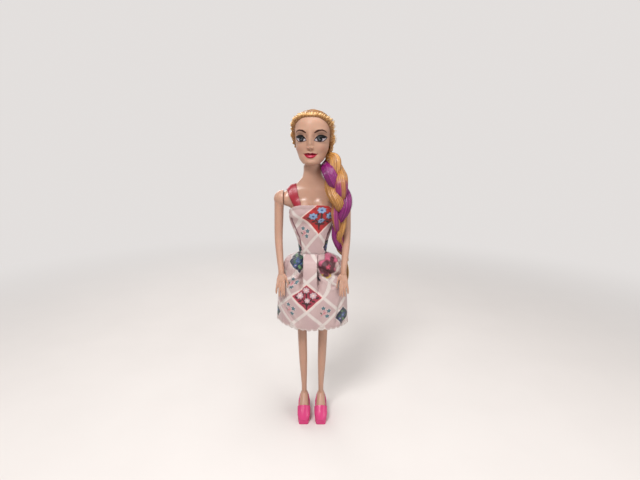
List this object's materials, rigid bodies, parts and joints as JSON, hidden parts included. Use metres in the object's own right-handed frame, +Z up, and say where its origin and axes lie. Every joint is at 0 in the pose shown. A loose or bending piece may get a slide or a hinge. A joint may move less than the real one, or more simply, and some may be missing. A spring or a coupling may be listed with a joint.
{
  "type": "fashion doll",
  "caption": "Standing fashion doll with turning head, arms and legs, rooted hair in a long plait, a printed one-shoulder dress with a gathered skirt, and slip-on platform mules.",
  "frame": {"origin": "on the floor, under the middle of the whole doll", "axes": "+Z up the doll, -Y the way it faces, +X towards its left hand"},
  "size_m": [0.068, 0.0472, 0.2897],
  "materials": {
    "hard_skin": "smooth moulded, satin",
    "soft_skin": "soft vinyl, satin",
    "natural_plastic": "unpainted moulding",
    "blonde_fibre": "glossy synthetic fibre",
    "mixed_fibre": "glossy synthetic fibre, blonde and magenta",
    "elastic": "thin clear-tan elastic",
    "printed_cloth": "thin woven satin, printed",
    "closure_tape": "hook and loop tape",
    "red_satin": "satin ribbon",
    "shoe_plastic": "glossy moulded"
  },
  "bodies": {
    "torso": {"torso_front": "hard_skin", "torso_back": "hard_skin", "hip_axle": "natural_plastic", "bodice": "printed_cloth", "closure_loop_strip": "closure_tape", "closure_hook_strip": "closure_tape", "shoulder_strap": "red_satin", "skirt": "printed_cloth", "plait": "mixed_fibre", "hair_tie": "elastic", "plait_tail": "blonde_fibre"},
    "neck": {"neck_post": "natural_plastic"},
    "head": {"head": "soft_skin", "rooted_hair": "blonde_fibre"},
    "left_arm": {"left_arm": "soft_skin", "left_shoulder_plug": "natural_plastic"},
    "right_arm": {"right_arm": "soft_skin", "right_shoulder_plug": "natural_plastic"},
    "left_leg": {"left_leg": "soft_skin"},
    "right_leg": {"right_leg": "soft_skin"},
    "left_shoe": {"left_shoe": "shoe_plastic"},
    "right_shoe": {"right_shoe": "shoe_plastic"}
  },
  "joints": [
    {"name": "head_turn", "type": "hinge", "parent": "torso", "child": "neck", "pos_m": [0, 0.0015, 0.246], "axis": [0, 0, 1], "range_deg": [-80, 80], "deforming": ["plait"]},
    {"name": "head_nod", "type": "hinge", "parent": "neck", "child": "head", "pos_m": [0, 0.0015, 0.246], "axis": [1, 0, 0], "range_deg": [-8, 8]},
    {"name": "left_shoulder", "type": "hinge", "parent": "torso", "child": "left_arm", "pos_m": [0.0254, 0, 0.214], "axis": [1, 0, 0], "continuous": true},
    {"name": "right_shoulder", "type": "hinge", "parent": "torso", "child": "right_arm", "pos_m": [-0.0254, 0, 0.214], "axis": [1, 0, 0], "continuous": true},
    {"name": "left_hip", "type": "hinge", "parent": "torso", "child": "left_leg", "pos_m": [0.01, 0, 0.146], "axis": [-1, 0, 0], "range_deg": [-35, 90], "deforming": ["skirt"]},
    {"name": "right_hip", "type": "hinge", "parent": "torso", "child": "right_leg", "pos_m": [-0.01, 0, 0.146], "axis": [-1, 0, 0], "range_deg": [-35, 90], "deforming": ["skirt"]},
    {"name": "left_shoe_slide", "type": "slide", "parent": "left_leg", "child": "left_shoe", "axis": [0, -0.7431, -0.6691], "range_m": [0, 0.02]},
    {"name": "right_shoe_slide", "type": "slide", "parent": "right_leg", "child": "right_shoe", "axis": [0, -0.7431, -0.6691], "range_m": [0, 0.02]}
  ]
}
